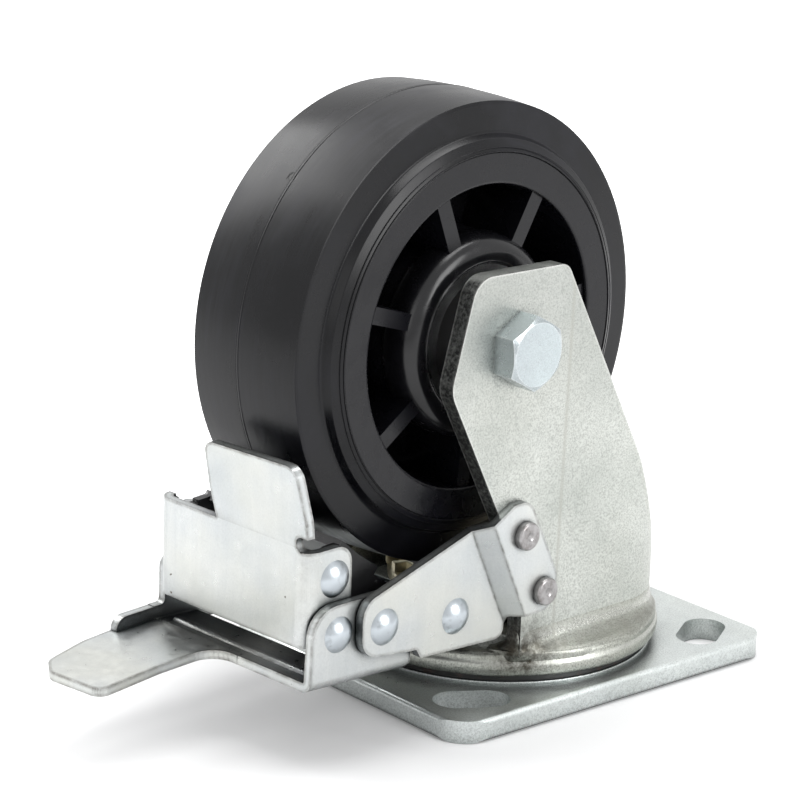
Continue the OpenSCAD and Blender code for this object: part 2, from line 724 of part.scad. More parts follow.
// Upper channel with its ears and the release tab
tab_front_x = -101.3;
tab_low_z = 32.5;
tab_web_top = 59.6;
ear_top = 58.4;
ear_rear_x = -85.4;
tab_bend_r = 4.5;
notch_low_z = ear_top;
notch_high_z = 62.8;

module tab_channel() {
    intersection() {
        translate([tab_front_x, 0, tab_low_z]) rotate([0, 0, -90]) linear_extrude(60)
            channel_section(ear_y, 60, brake_t, tab_bend_r);
        union() {
            side_plate(rounded([
                [tab_front_x - 1, tab_low_z, 0], [ear_rear_x, tab_low_z, 3], [ear_rear_x, ear_top, 5],
                [tab_front_x + tab_bend_r, ear_top, 1], [tab_front_x + tab_bend_r, tab_web_top, 0],
                [tab_front_x - 1, tab_web_top, 0]]), -ear_y - 1, ear_y + 1);
        }
    }
}

module release_tab() {
    color([0.85, 0.88, 0.9]) on_fork() difference() {
        union() {
            tab_channel();
            // the web runs on up into the leaning tab
            translate([tab_front_x, 0, tab_web_top]) rotate([0, -tab_lean, 0])
                translate([0, 0, -0.6]) rotate([90, 0, 90]) linear_extrude(brake_t) polygon(rounded([
                    [-ear_y + tab_w - 2.4, -0.6, 0], [-ear_y + tab_w - 0.2, 9, 12],
                    [-ear_y + tab_w + 1, tab_h, 3], [-ear_y + 2.8, tab_h + 1.1, 4.5],
                    [-ear_y - 0.4, tab_h * 0.37, 4], [-ear_y - 0.4, -0.6, 0]], 8));
        }
        // the left ear is cut round its rivet
        translate([0, ear_y + 1, 0]) rotate([90, 0, 0]) linear_extrude(brake_t + 2) difference() {
            translate([tab_front_x + 5.5, tab_pivot.y]) square(12);
            translate(tab_pivot) circle(6.2);
        }
        // relief notch between the tab and the right ear
        translate([tab_front_x - 6, -ear_y - 1, notch_low_z]) cube([12, 3, notch_high_z - notch_low_z]);
        translate([tab_front_x - 6, -ear_y + 2, (notch_low_z + notch_high_z) / 2])
            rotate([0, 90, 0]) cylinder(d = notch_high_z - notch_low_z, h = 12);
        rod(link_pivot, rivet_r + fit_clearance, -60, 60);
        rod(tab_pivot, rivet_r + fit_clearance, -60, 60);
    }
}

// Black brake lever, two side plates with the curved shoe between them and the lock tooth behind
shoe_t = 2.5;
shoe_from = 221;
shoe_to = 235.5;
tooth_x = -ring_r + 1.7;
tooth_w = notch_w - 1.6;
tooth_gap = 0.7;
tooth_h = 2.2;
lever_eye_r = 6.2;
cross_z = ring_top + tooth_gap + tooth_h;
lever_strap = rounded([
    [-91.3, 42.7, 0], [-76, 38.4, 8], [-66, 33.2, 8], [lever_pivot.x, lever_pivot.y - 6.4, 6],
    [-40, 29.2, 6], [tooth_x - 1.3, cross_z, 0], [tooth_x + 1.3, cross_z, 0.5],
    [tooth_x + 1.3, 37, 2], [lever_pivot.x + 2, 38.2, 8], [-67.9, 42, 6], [-82, 51.8, 4],
    [-86, 57.6, 2], [-91.3, 57.3, 0]], 6);

module pie(r, from, to) {
    polygon([[0, 0], r * [cos(from), sin(from)], r * [cos((from + to) / 2), sin((from + to) / 2)] * 1.1,
        r * [cos(to), sin(to)]]);
}

// The shoe's plate follows the tread when the lever is swung to its stop
module shoe() {
    shoe_r = wheel_r + shoe_gap;
    translate([lever_pivot.x, lever_y, lever_pivot.y]) rotate([90, 0, 0]) linear_extrude(2 * lever_y)
        rotate(lever_travel) translate(axle - lever_pivot) intersection() {
            difference() {
                circle(shoe_r + shoe_t, $fn = 360);
                circle(shoe_r, $fn = 360);
            }
            pie(2 * shoe_r, shoe_from, shoe_to);
        }
}

module brake_lever() {
    color([0.07, 0.07, 0.075]) on_fork() difference() {
        union() {
            both_sides() {
                side_plate(lever_strap, -lever_y, -lever_in_y);
                rod(tab_pivot, lever_eye_r, -lever_y, -lever_in_y);
            }
            shoe();
            // cross plate behind the pivot, with the lock tooth under its middle
            translate([tooth_x - 1.3, -lever_y + eps, cross_z]) cube([2.6, 2 * lever_y - 2 * eps, 4]);
            translate([tooth_x - 1.3, -tooth_w / 2, cross_z - tooth_h]) cube([2.6, tooth_w, tooth_h + 1]);
        }
        rod(lever_pivot, rivet_r + fit_clearance, -60, 60);
        rod(tab_pivot, rivet_r + open_pivot_clearance, -60, 60);
    }
}

top_plate();
king_pin();
king_pin_nut();
race_cup();
lock_ring();
fork();
load_balls();
retaining_balls();
dust_seal();
axle_bolt();
axle_nut();
axle_sleeve();
spacer_right();
spacer_left();
bearing_inner_right();
bearing_inner_left();
bracket_arm_right();
bracket_arm_left();
bracket_rivets();
pedal_rivets();
lever_pin();
lever_bushes();
pedal();
link_rivets();
release_tab();
tab_rivets();
brake_lever();
wheel_core();
tyre();
bearing_outer_right();
bearing_outer_left();
bearing_balls();
bearing_seals();
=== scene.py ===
import json
import math
import random

import bmesh
import bpy
from mathutils import Matrix, Vector

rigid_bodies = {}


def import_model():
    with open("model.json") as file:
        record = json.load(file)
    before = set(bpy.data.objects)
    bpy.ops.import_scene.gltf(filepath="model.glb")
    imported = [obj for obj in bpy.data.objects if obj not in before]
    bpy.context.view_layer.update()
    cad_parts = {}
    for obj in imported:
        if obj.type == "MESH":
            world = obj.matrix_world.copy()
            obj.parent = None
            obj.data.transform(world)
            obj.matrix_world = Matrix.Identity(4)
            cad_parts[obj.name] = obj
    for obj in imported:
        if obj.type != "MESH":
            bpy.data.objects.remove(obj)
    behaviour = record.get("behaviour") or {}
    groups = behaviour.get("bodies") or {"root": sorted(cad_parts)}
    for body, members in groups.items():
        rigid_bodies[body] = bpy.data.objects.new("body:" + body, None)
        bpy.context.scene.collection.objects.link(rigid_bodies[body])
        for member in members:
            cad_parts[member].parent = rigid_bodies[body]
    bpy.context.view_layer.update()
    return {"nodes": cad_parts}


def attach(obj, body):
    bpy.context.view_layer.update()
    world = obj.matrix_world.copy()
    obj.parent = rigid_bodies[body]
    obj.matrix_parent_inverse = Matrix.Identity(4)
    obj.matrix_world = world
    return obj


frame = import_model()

for left_over in [o for o in bpy.data.objects if o.name in ("Cube", "Light", "Camera")]:
    bpy.data.objects.remove(left_over)

# Studio: the castor stands on its mounting plate on a white table, seen from its braked front
# corner through a long lens. The table is pale and keeps the object's soft shadow, with painted
# shade near the castor. Four soft lamps light it, the strongest from above.
view_from = Vector((-0.58605, -0.62693, 0.33027))
view_right = Vector((0.75927, -0.64989, 0.03399))
view_up = Vector((0.16225, 0.23963, 0.95721))
view_back = Vector((-0.63022, -0.72127, 0.28739))
camera_data = bpy.data.cameras.new("camera")
camera_data.lens = 144
camera_data.sensor_width = 36
camera_data.clip_start = 0.01
camera = bpy.data.objects.new("camera", camera_data)
bpy.context.scene.collection.objects.link(camera)
camera.matrix_world = Matrix.Translation(view_from) @ Matrix((
    (view_right.x, view_up.x, view_back.x, 0),
    (view_right.y, view_up.y, view_back.y, 0),
    (view_right.z, view_up.z, view_back.z, 0),
    (0, 0, 0, 1)))
bpy.context.scene.camera = camera
bpy.context.scene.view_settings.view_transform = "Standard"


class Shader:
    """A node material that is wired up line by line."""

    def __init__(self, name):
        self.material = bpy.data.materials.new(name)
        self.material.use_nodes = True
        self.tree = self.material.node_tree
        self.tree.nodes.clear()
        self.out = self.add("ShaderNodeOutputMaterial")

    def add(self, kind, **settings):
        node = self.tree.nodes.new(kind)
        for key, value in settings.items():
            if key in node.inputs:
                node.inputs[key].default_value = value
            else:
                setattr(node, key, value)
        return node

    def wire(self, source, socket):
        self.tree.links.new(source, socket)

    def place(self):
        """Where a point is on the part at rest."""
        return self.add("ShaderNodeTexCoord").outputs["Object"]

    def split(self, vector):
        """The X, Y and Z of a vector."""
        node = self.add("ShaderNodeSeparateXYZ")
        self.wire(vector, node.inputs["Vector"])
        return node.outputs

    def noise(self, scale, detail=3.0, rough=0.55, stretch=None):
        node = self.add("ShaderNodeTexNoise", Scale=scale, Detail=detail, Roughness=rough)
        where = self.place()
        if stretch:
            move = self.add("ShaderNodeMapping")
            move.inputs["Scale"].default_value = stretch
            self.wire(where, move.inputs["Vector"])
            where = move.outputs["Vector"]
        self.wire(where, node.inputs["Vector"])
        return node.outputs["Fac"]

    def range(self, source, low, high, to_low=0.0, to_high=1.0):
        node = self.add("ShaderNodeMapRange")
        for key, value in (("From Min", low), ("From Max", high),
                           ("To Min", to_low), ("To Max", to_high)):
            node.inputs[key].default_value = value
        self.wire(source, node.inputs["Value"])
        return node.outputs["Result"]

    def band(self, source, start, full, ease, end):
        """0 up to start, 1 from full to ease, and 0 again from end on."""
        return self.maths("MULTIPLY", self.range(source, start, full), self.range(source, end, ease))

    def maths(self, work, a, b=None, clamp=False):
        node = self.add("ShaderNodeMath", operation=work, use_clamp=clamp)
        for socket, value in zip(node.inputs, (a, b)):
            if value is None:
                continue
            if isinstance(value, (int, float)):
                socket.default_value = value
            else:
                self.wire(value, socket)
        return node.outputs["Value"]

    def blend(self, amount, a, b):
        node = self.add("ShaderNodeMix", data_type="RGBA")
        self.wire(amount, node.inputs["Factor"])
        for socket, value in ((node.inputs[6], a), (node.inputs[7], b)):
            if isinstance(value, tuple):
                socket.default_value = (*value, 1)
            else:
                self.wire(value, socket)
        return node.outputs[2]

    def crevice_shade(self, reach, dark=0.25, open_at=0.9):
        """Falls from 1 in the open towards 0 where another face is nearer than the reach; it masks painted
        shade in crevices.
        """
        node = self.add("ShaderNodeAmbientOcclusion", samples=6)
        node.inputs["Distance"].default_value = reach
        return self.range(node.outputs["AO"], dark, open_at)

    def near(self, spot, inner, outer, ragged=0.0):
        """1 within the inner distance of a spot on the part, 0 beyond the outer one."""
        gap = self.add("ShaderNodeVectorMath", operation="DISTANCE")
        gap.inputs[1].default_value = spot
        self.wire(self.place(), gap.inputs[0])
        distance = gap.outputs["Value"]
        if ragged:
            torn = self.range(self.noise(700, 3), 0, 1, 0, ragged)
            distance = self.maths("SUBTRACT", distance, torn)
        return self.range(distance, inner, outer, 1.0, 0.0)

    def bump(self, height, strength, distance, before=None):
        node = self.add("ShaderNodeBump", Strength=strength, Distance=distance)
        self.wire(height, node.inputs["Height"])
        if before:
            self.wire(before, node.inputs["Normal"])
        return node.outputs["Normal"]

    def finish(self, colour, roughness, normal=None, metallic=0.0, **fixed):
        surface = self.add("ShaderNodeBsdfPrincipled", **fixed)
        for key, value in (("Base Color", colour), ("Roughness", roughness), ("Metallic", metallic)):
            socket = surface.inputs[key]
            if isinstance(value, tuple):
                socket.default_value = (*value, 1)
            elif isinstance(value, (int, float)):
                socket.default_value = value
            else:
                self.wire(value, socket)
        if normal:
            self.wire(normal, surface.inputs["Normal"])
        self.wire(surface.outputs["BSDF"], self.out.inputs["Surface"])
        return self.material


def seen_directly(tree, in_metal):
    """1 for what the lens or glass looks at, less in metal, 0 for light that falls on things."""
    path = tree.nodes.new("ShaderNodeLightPath")
    total = path.outputs["Is Camera Ray"]
    for ray, share in (("Is Glossy Ray", in_metal), ("Is Transmission Ray", 1.0)):
        part_of = tree.nodes.new("ShaderNodeMath")
        part_of.operation = "MULTIPLY"
        part_of.inputs[1].default_value = share
        tree.links.new(path.outputs[ray], part_of.inputs[0])
        most = tree.nodes.new("ShaderNodeMath")
        most.operation = "MAXIMUM"
        tree.links.new(total, most.inputs[0])
        tree.links.new(part_of.outputs["Value"], most.inputs[1])
        total = most.outputs["Value"]
    return total


table_radius, table_sides, just_below = 3.0, 48, -0.0001
table_turns = [math.tau * side / table_sides for side in range(table_sides)]
table_mesh = bpy.data.meshes.new("table")
table_mesh.from_pydata(
    [(table_radius * math.cos(turn), table_radius * math.sin(turn), just_below) for turn in table_turns],
    [], [tuple(range(table_sides))])
table = bpy.data.objects.new("table", table_mesh)
bpy.context.scene.collection.objects.link(table)
table_look = Shader("white table")
table_paint = table_look.add("ShaderNodeBsdfDiffuse", Color=(0.82, 0.82, 0.825, 1))
table_glow = table_look.add("ShaderNodeEmission", Color=(1, 1, 1, 1))
table_in_metal, room_in_metal = 0.5, 0.88
# Painted shade: the table's glow is weaker near the castor and stronger further out, so the shade round its
# foot is painted darker than the lamps alone make it.
shade_end, open_table = 0.078, 0.24
glow_in_shade, glow_in_open = 0.15, 0.9
from_castor = table_look.add("ShaderNodeVectorMath", operation="LENGTH")
table_look.wire(table_look.place(), from_castor.inputs[0])
glow_amount = table_look.maths(
    "MULTIPLY", seen_directly(table_look.tree, table_in_metal),
    table_look.range(from_castor.outputs["Value"], shade_end, open_table, glow_in_shade, glow_in_open))
table_look.wire(glow_amount, table_glow.inputs["Strength"])
table_sum = table_look.add("ShaderNodeAddShader")
table_look.wire(table_paint.outputs["BSDF"], table_sum.inputs[0])
table_look.wire(table_glow.outputs["Emission"], table_sum.inputs[1])
table_look.wire(table_sum.outputs["Shader"], table_look.out.inputs["Surface"])
table_mesh.materials.append(table_look.material)

world = bpy.data.worlds.new("white room")
bpy.context.scene.world = world
world.use_nodes = True
world.node_tree.nodes.clear()
room = world.node_tree.nodes.new("ShaderNodeBackground")
room.inputs["Color"].default_value = (1, 1, 1, 1)
room_light = world.node_tree.nodes.new("ShaderNodeMapRange")
room_strength, room_seen = 0.3, 1.0
room_light.inputs["To Min"].default_value = room_strength
room_light.inputs["To Max"].default_value = room_seen
world.node_tree.links.new(seen_directly(world.node_tree, room_in_metal), room_light.inputs["Value"])
world.node_tree.links.new(room_light.outputs["Result"], room.inputs["Strength"])
room_out = world.node_tree.nodes.new("ShaderNodeOutputWorld")
world.node_tree.links.new(room.outputs["Background"], room_out.inputs["Surface"])

lamps_aim = Vector((-0.02, 0, 0.06))
softboxes = (
    ("overhead", (0.15, 0.1, 1.15), 0.8, 10.0),
    ("behind_left", (-0.25, 0.95, 0.75), 0.7, 6.4),
    ("front_left", (-1.2, -0.3, 0.6), 0.7, 1.0),
    ("front_right", (0.3, -1.2, 0.6), 0.7, 8.0))
for box_name, box_place, box_side, box_watts in softboxes:
    lamp = bpy.data.lights.new(box_name, "AREA")
    lamp.shape = "SQUARE"
    lamp.size = box_side
    lamp.energy = box_watts
    lamp_object = bpy.data.objects.new(box_name, lamp)
    lamp_object.location = box_place
    towards = lamps_aim - Vector(box_place)
    lamp_object.rotation_euler = towards.to_track_quat("-Z", "Y").to_euler()
    bpy.context.scene.collection.objects.link(lamp_object)


# Mounting plate: one pressed and drilled steel plate with a raised race seat. It is zinc plated,
# so it is bright with a fine grain, small dull patches, and grime with painted shade round the seat.
mm = 0.001
part = frame["nodes"]
shade_and_grime = (0.035, 0.045, 0.042)


def zinc(name, bright, dull, roughness, grain=0.00015, speckle=0.5, reach=9 * mm, extra=None):
    """Zinc plate: bright and dull patches, a fine grain, and dirt with painted shade where another face is
    near.
    """
    look = Shader(name)
    colour = look.blend(look.range(look.noise(34, 4, 0.6), 0.35, 0.68), bright, dull)
    warm = look.range(look.noise(21, 3), 0.45, 0.72, 0.0, 0.3)
    colour = look.blend(warm, colour, (bright[0], bright[1] * 0.985, bright[2] * 0.93))
    specks = look.range(look.noise(1900, 4, 0.8), 0.45, 0.62)
    colour = look.blend(look.maths("MULTIPLY", specks, speckle), colour, tuple(0.45 * c for c in dull))
    rough = look.range(look.noise(260, 4, 0.65), 0.3, 0.7, roughness - 0.07, roughness + 0.08)
    if extra:
        colour, rough = extra(look, colour, rough)
    ragged = 0.35 * speckle
    # Painted shade with some grime: the zinc darkens where another face is near, broken by dark specks.
    unshaded = look.maths("SUBTRACT", look.crevice_shade(reach, 0.15, 0.78), look.maths("MULTIPLY", specks, ragged))
    unshaded = look.maths("ADD", unshaded, ragged, True)
    colour = look.blend(unshaded, shade_and_grime, colour)
    normal = look.bump(look.noise(1700, 3, 0.6), 0.5, grain)
    return look.finish(colour, rough, normal, metallic=0.92)


def dress(node_name, material, edge_r=0.0, steps=2):
    """Gives a CAD node its finish, and its sheet edges the small radius that pressing leaves."""
    node = part[node_name]
    for material_slot in node.material_slots:
        material_slot.material = material
    same_spot, sharp_from = 2e-6, math.radians(38)
    if edge_r:
        weld = node.modifiers.new("join faces", "WELD")
        weld.merge_threshold = same_spot
        soft = node.modifiers.new("soft edges", "BEVEL")
        soft.width = edge_r
        soft.segments = steps
        soft.limit_method = "ANGLE"
        soft.angle_limit = sharp_from
        soft.harden_normals = False
        smooth = node.modifiers.new("smooth faces", "NODES")
        smooth.node_group = smooth_faces()
        level = node.modifiers.new("flats stay flat", "WEIGHTED_NORMAL")
        level.keep_sharp = True


def smooth_faces(max_angle=32):
    """Shades faces smoothly except over edges sharper than this many degrees."""
    if "smooth faces" in bpy.data.node_groups:
        return bpy.data.node_groups["smooth faces"]
    group = bpy.data.node_groups.new("smooth faces", "GeometryNodeTree")
    group.interface.new_socket("Geometry", in_out="INPUT", socket_type="NodeSocketGeometry")
    group.interface.new_socket("Geometry", in_out="OUTPUT", socket_type="NodeSocketGeometry")
    start = group.nodes.new("NodeGroupInput")
    end = group.nodes.new("NodeGroupOutput")
    drop = group.nodes.new("GeometryNodeRemoveAttribute")
    drop.inputs["Name"].default_value = "custom_normal"
    faces = group.nodes.new("GeometryNodeSetShadeSmooth")
    faces.domain = "FACE"
    edges = group.nodes.new("GeometryNodeSetShadeSmooth")
    edges.domain = "EDGE"
    angle = group.nodes.new("GeometryNodeInputMeshEdgeAngle")
    flat = group.nodes.new("FunctionNodeCompare")
    flat.operation = "LESS_THAN"
    flat.inputs["B"].default_value = math.radians(max_angle)
    group.links.new(angle.outputs["Unsigned Angle"], flat.inputs["A"])
    group.links.new(start.outputs["Geometry"], drop.inputs["Geometry"])
    group.links.new(drop.outputs["Geometry"], faces.inputs["Geometry"])
    group.links.new(faces.outputs["Geometry"], edges.inputs["Geometry"])
    group.links.new(flat.outputs["Result"], edges.inputs["Shade Smooth"])
    group.links.new(edges.outputs["Geometry"], end.inputs["Geometry"])
    return group


plate_zinc = zinc("plate zinc", (0.77, 0.81, 0.80), (0.63, 0.67, 0.66), 0.34, speckle=0.4)
dress("top_plate", plate_zinc)

# Swivel: a dished race and a notched lock ring of hardened steel with yellowed, greased plating,
# two rows of polished balls, a rubber seal, and the king pin with its nut that clamps them all.
race_look = Shader("greased race")
race_colour = race_look.blend(race_look.range(race_look.noise(90, 4), 0.35, 0.65),
                              (0.62, 0.58, 0.44), (0.38, 0.33, 0.20))
race_zinc = race_look.finish(race_colour, 0.3,
                             race_look.bump(race_look.noise(700, 3), 0.25, 0.00008), 0.9)
dress("race_cup", race_zinc)
dress("lock_ring", race_zinc, 0.25 * mm)
worn_look = Shader("rivet steel")
worn_patch = worn_look.range(worn_look.noise(420, 4, 0.65), 0.56, 0.74)
worn_and_shaded_colour = worn_look.blend(worn_patch, (0.53, 0.575, 0.61), (0.36, 0.39, 0.41))
# Painted shade: the steel goes nearly black where another face is within 4 mm.
worn_and_shaded_colour = worn_look.blend(worn_look.crevice_shade(4 * mm, 0.3, 0.9), (0.05, 0.055, 0.06), worn_and_shaded_colour)
worn_and_shaded_steel = worn_look.finish(worn_and_shaded_colour, worn_look.range(worn_patch, 0, 1, 0.29, 0.4),
                              worn_look.bump(worn_look.noise(160, 2), 0.2, 0.0003), 1.0)
dress("king_pin", worn_and_shaded_steel)
dress("king_pin_nut", worn_and_shaded_steel)
ball_look = Shader("polished balls")
ball_colour = ball_look.blend(ball_look.range(ball_look.noise(300), 0.4, 0.6),
                              (0.72, 0.70, 0.64), (0.52, 0.44, 0.32))
ball_steel = ball_look.finish(ball_colour, 0.14, metallic=1.0)
dress("load_balls", ball_steel)
dress("retaining_balls", ball_steel)
seal_look = Shader("black grease seal")
seal_colour = seal_look.blend(seal_look.range(seal_look.noise(260, 4), 0.55, 0.75),
                              (0.008, 0.008, 0.008), (0.06, 0.022, 0.014))
seal_black = seal_look.finish(seal_colour, 0.3, seal_look.bump(seal_look.noise(400, 4), 0.5, 0.0004))
dress("dust_seal", seal_black)

# Fork: crown and both legs pressed from one 5 mm steel sheet, zinc plated over a grainy surface,
# with dark, rough sheared edges. It hangs on the balls and turns on the king pin.
def on_flat(look, radius, samples):
    """1 on a flat, and less near a corner, where the rounded normal leaves the flat one."""
    rounded = look.add("ShaderNodeBevel", samples=samples, Radius=radius)
    flat = look.add("ShaderNodeNewGeometry")
    match = look.add("ShaderNodeVectorMath", operation="DOT_PRODUCT")
    look.wire(rounded.outputs["Normal"], match.inputs[0])
    look.wire(flat.outputs["True Normal"], match.inputs[1])
    return match.outputs["Value"]


def worn_and_highlit_corners(look, colour, rough, bright, radius=1.0 * mm, shine=0.15, above=-1.0):
    """Rubs the plating bright over corners, above a height: partly wear, partly a painted highlight."""
    corner = look.range(on_flat(look, radius, 3), 0.99, 0.86)
    corner = look.maths("MULTIPLY", corner, look.range(look.noise(190, 4, 0.7), 0.36, 0.6, 0.3, 1.0))
    height = look.split(look.place())["Z"]
    corner = look.maths("MULTIPLY", corner, look.range(height, above, above + 8 * mm))
    return (look.blend(corner, colour, bright),
            look.maths("SUBTRACT", rough, look.maths("MULTIPLY", corner, shine), True))


def fork_wear_and_painted_light(look, colour, rough):
    """Darker towards the top of the legs, a painted shade line along the crease where each leg starts
    to curve, and the dark sheared edges, which face along the sheet."""
    crease_x, crease_lean = -14.0 * mm, -0.02
    foot_x, foot_y, foot_z = -24.5 * mm, 37.0 * mm, 16.0 * mm
    sheared, foot_dirt_and_shade = (0.035, 0.035, 0.035), (0.05, 0.045, 0.035)
    darker_top, crease_shade = (0.30, 0.31, 0.30), (0.40, 0.40, 0.36)
    facing = look.split(look.add("ShaderNodeTexCoord").outputs["Normal"])
    spot = look.split(look.place())
    colour = look.blend(look.range(spot["Z"], 60 * mm, 118 * mm, 0.0, 0.42), colour, darker_top)
    # Painted shade: a darker line along the crease stands in for the shading of the leg's slight bend there.
    lean = look.maths("MULTIPLY", spot["Z"], crease_lean)
    crease = look.maths("SUBTRACT", look.maths("ADD", spot["X"], lean), crease_x)
    crease = look.range(look.maths("ABSOLUTE", crease), 0.2 * mm, 0.9 * mm, 0.5, 0.0)
    colour = look.blend(crease, colour, crease_shade)
    edge = look.maths("MULTIPLY", look.range(look.maths("ABSOLUTE", facing["Y"]), 0.6, 0.3),
                      look.range(spot["Z"], 16.2 * mm, 18.5 * mm))
    edge = look.maths("MULTIPLY", edge, look.range(look.maths("ABSOLUTE", facing["Z"]), 0.95, 0.8))
    torn = look.range(look.noise(900, 4, 0.7), 0.4, 0.66, 1.0, 0.6)
    colour = look.blend(look.maths("MULTIPLY", edge, torn), colour, sheared)
    rough = look.maths("ADD", rough, look.maths("MULTIPLY", edge, 0.15))
    # Painted highlight, partly wear: brighter, glossier corners above 24 mm.
    colour, rough = worn_and_highlit_corners(look, colour, rough, (0.80, 0.80, 0.77), 1.0 * mm, 0.15, 24 * mm)
    # Dirt and painted shade: dark patches round the torn front end of each leg's foot.
    patchy = look.range(look.noise(260, 5, 0.75), 0.34, 0.62, 0.3, 1.0)
    for side in (-1, 1):
        foot = look.near((foot_x, side * foot_y, foot_z), 1 * mm, 9 * mm, 6 * mm)
        colour = look.blend(look.maths("MULTIPLY", foot, patchy), colour, foot_dirt_and_shade)
    return colour, rough


fork_zinc = zinc("fork zinc", (0.67, 0.69, 0.65), (0.52, 0.545, 0.51), 0.38, 0.0002, 0.62, 14 * mm, fork_wear_and_painted_light)
dress("fork", fork_zinc, 0.8 * mm, 3)
swivel_rest = 3.8
fork_turn = Matrix.Rotation(math.radians(swivel_rest), 4, "Z")
wobble = random.Random(7)


def mesh_piece(name, verts, faces, material, body):
    """Makes one smooth piece of the fork's group or the wheel's, in the fork's own directions."""
    mesh = bpy.data.meshes.new(name)
    mesh.from_pydata([fork_turn @ Vector(v) for v in verts], [], faces)
    check = bmesh.new()
    check.from_mesh(mesh)
    bmesh.ops.recalc_face_normals(check, faces=check.faces)
    check.to_mesh(mesh)
    check.free()
    mesh.shade_smooth()
    mesh.materials.append(material)
    piece = bpy.data.objects.new(name, mesh)
    bpy.context.scene.collection.objects.link(piece)
    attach(piece, body)
    return piece


def grid_faces(rows, columns, closed_rows=False, closed_columns=False):
    faces = []
    for i in range(rows if closed_rows else rows - 1):
        for j in range(columns if closed_columns else columns - 1):
            k, m = (i + 1) % rows, (j + 1) % columns
            faces.append((i * columns + j, k * columns + j, k * columns + m, i * columns + m))
    return faces


def turn_profile(profile, steps, place):
    """Turns a closed profile of (radius, height) points; place gives each point its spot."""
    verts = [place(radius, math.tau * i / steps, height) for i in range(steps) for radius, height in profile]
    return verts, grid_faces(steps, len(profile), True, True)


def crown_dirt_and_painted_light(look, colour, rough):
    """Painted shade with dirt in the hollow above the bead, dirt and painted shade round the torn foot, and
    painted highlights along the flare and the bead.
    """
    height = look.split(look.place())["Z"]
    patchy = look.range(look.noise(260, 5, 0.75), 0.34, 0.62)
    # Painted shade with some dirt: darker in the hollow between the flare and the bead.
    hollow = look.band(height, 15.0 * mm, 16.6 * mm, 17.2 * mm, 19.2 * mm)
    colour = look.blend(look.maths("MULTIPLY", hollow, look.range(patchy, 0, 1, 0.25, 0.75)), colour,
                        (0.24, 0.24, 0.21))
    # Painted highlight: a brighter, glossier band where the flare turns out from the leg.
    flare_highlight = look.band(height, 18.6 * mm, 19.6 * mm, 20.3 * mm, 22.5 * mm)
    colour = look.blend(look.maths("MULTIPLY", flare_highlight, 0.3), colour, (0.72, 0.73, 0.69))
    # Painted highlight: a brighter line along the bead.
    bead = look.band(height, 12.2 * mm, 12.9 * mm, 13.3 * mm, 13.9 * mm)
    colour = look.blend(look.maths("MULTIPLY", bead, 0.35), colour, (0.74, 0.75, 0.71))
    return fork_wear_and_painted_light(look, colour, look.maths("SUBTRACT", rough, look.maths("MULTIPLY", flare_highlight, 0.12)))


# Darker zinc for the crown rim and flares, carrying the crown's painted shade and highlights.
grimy_and_shaded_zinc = zinc("grimy and shaded zinc", (0.54, 0.555, 0.51), (0.35, 0.36, 0.32), 0.36, 0.00022, 0.75, 6 * mm,
                  crown_dirt_and_painted_light)

# Crown rim: the crown's edge is rolled over into a fat bead that hangs a little over the race gap.
# It is the same sheet as the fork, with yellowed plating, grime, and painted shade and highlights along it.
rim_profile = [(radius * mm, height * mm) for radius, height in (
    (40.5, 15.5), (40.8, 15.75), (43.5, 15.85), (44.9, 15.8), (45.6, 15.2), (45.8, 14.3), (45.85, 13.5),
    (46.2, 13.15), (46.5, 12.4), (46.55, 11.2), (46.35, 10.0), (45.9, 9.35), (45.3, 9.15), (44.85, 9.5),
    (44.8, 11.0))]
rim_steps, rim_waviness = 220, 0.12 * mm
rim_verts, rim_faces = turn_profile(
    rim_profile, rim_steps,
    lambda radius, turn, height: (
        radius * math.cos(turn), radius * math.sin(turn),
        height + rim_waviness * math.sin(5 * turn + 0.6) * math.sin(11 * turn)))
mesh_piece("crown_rim", rim_verts, rim_faces, grimy_and_shaded_zinc, "fork_group")

# Leg flares: where each leg is bent up out of the crown its sheet flares into the rim in a hollow
# curve. Its front end is torn and rough. Pressed in one with the fork.
crease_x, leg_y = -14.5, -37.5
rear_l, rear_lean, rear_steps = 27.69, -0.725, 9
curl_x, curl_y, curl_r, curl_from = 13.82, -14.23, 24, 1.5
leg_outer = [(-23.0, -32.4), (-27.0, -32.4), (-28.6, -32.9), (-29.1, -34.2), (-29.15, -36.0), (-28.7, -37.1),
             (-27.6, leg_y), (-25.0, leg_y), (-22.0, leg_y), (-18.0, leg_y), (crease_x, leg_y)]
leg_outer += [(crease_x + rear_l * k / rear_steps, leg_y + rear_lean * k / rear_steps)
              for k in range(1, rear_steps + 1)]
for degrees in range(4, 65, 4):
    turn = math.radians(degrees - curl_from)
    leg_outer.append((curl_x + curl_r * math.sin(turn), curl_y - curl_r * math.cos(turn)))
flare_section = (
    (0.0, 23.2), (0.0, 22.2), (0.03, 21.0), (0.09, 19.8), (0.18, 18.8), (0.32, 17.9), (0.50, 17.2),
    (0.70, 16.7), (0.87, 16.3), (0.98, 15.8), (1.02, 15.1), (1.03, 14.3), (1.02, 13.5), (0.96, 12.9))
rim_inside, least_reach, most_reach, reach_step = 45.75, 0.6, 7, 0.1
torn_at, torn_spread, end_spread = 4, 6, 3
sunk, laid_on, proud, ragged = -0.25, 0.06, 0.1, 0.45
rim_limits = {10: 46.9, 11: 46.3, 12: 45.95, 13: 45.2}
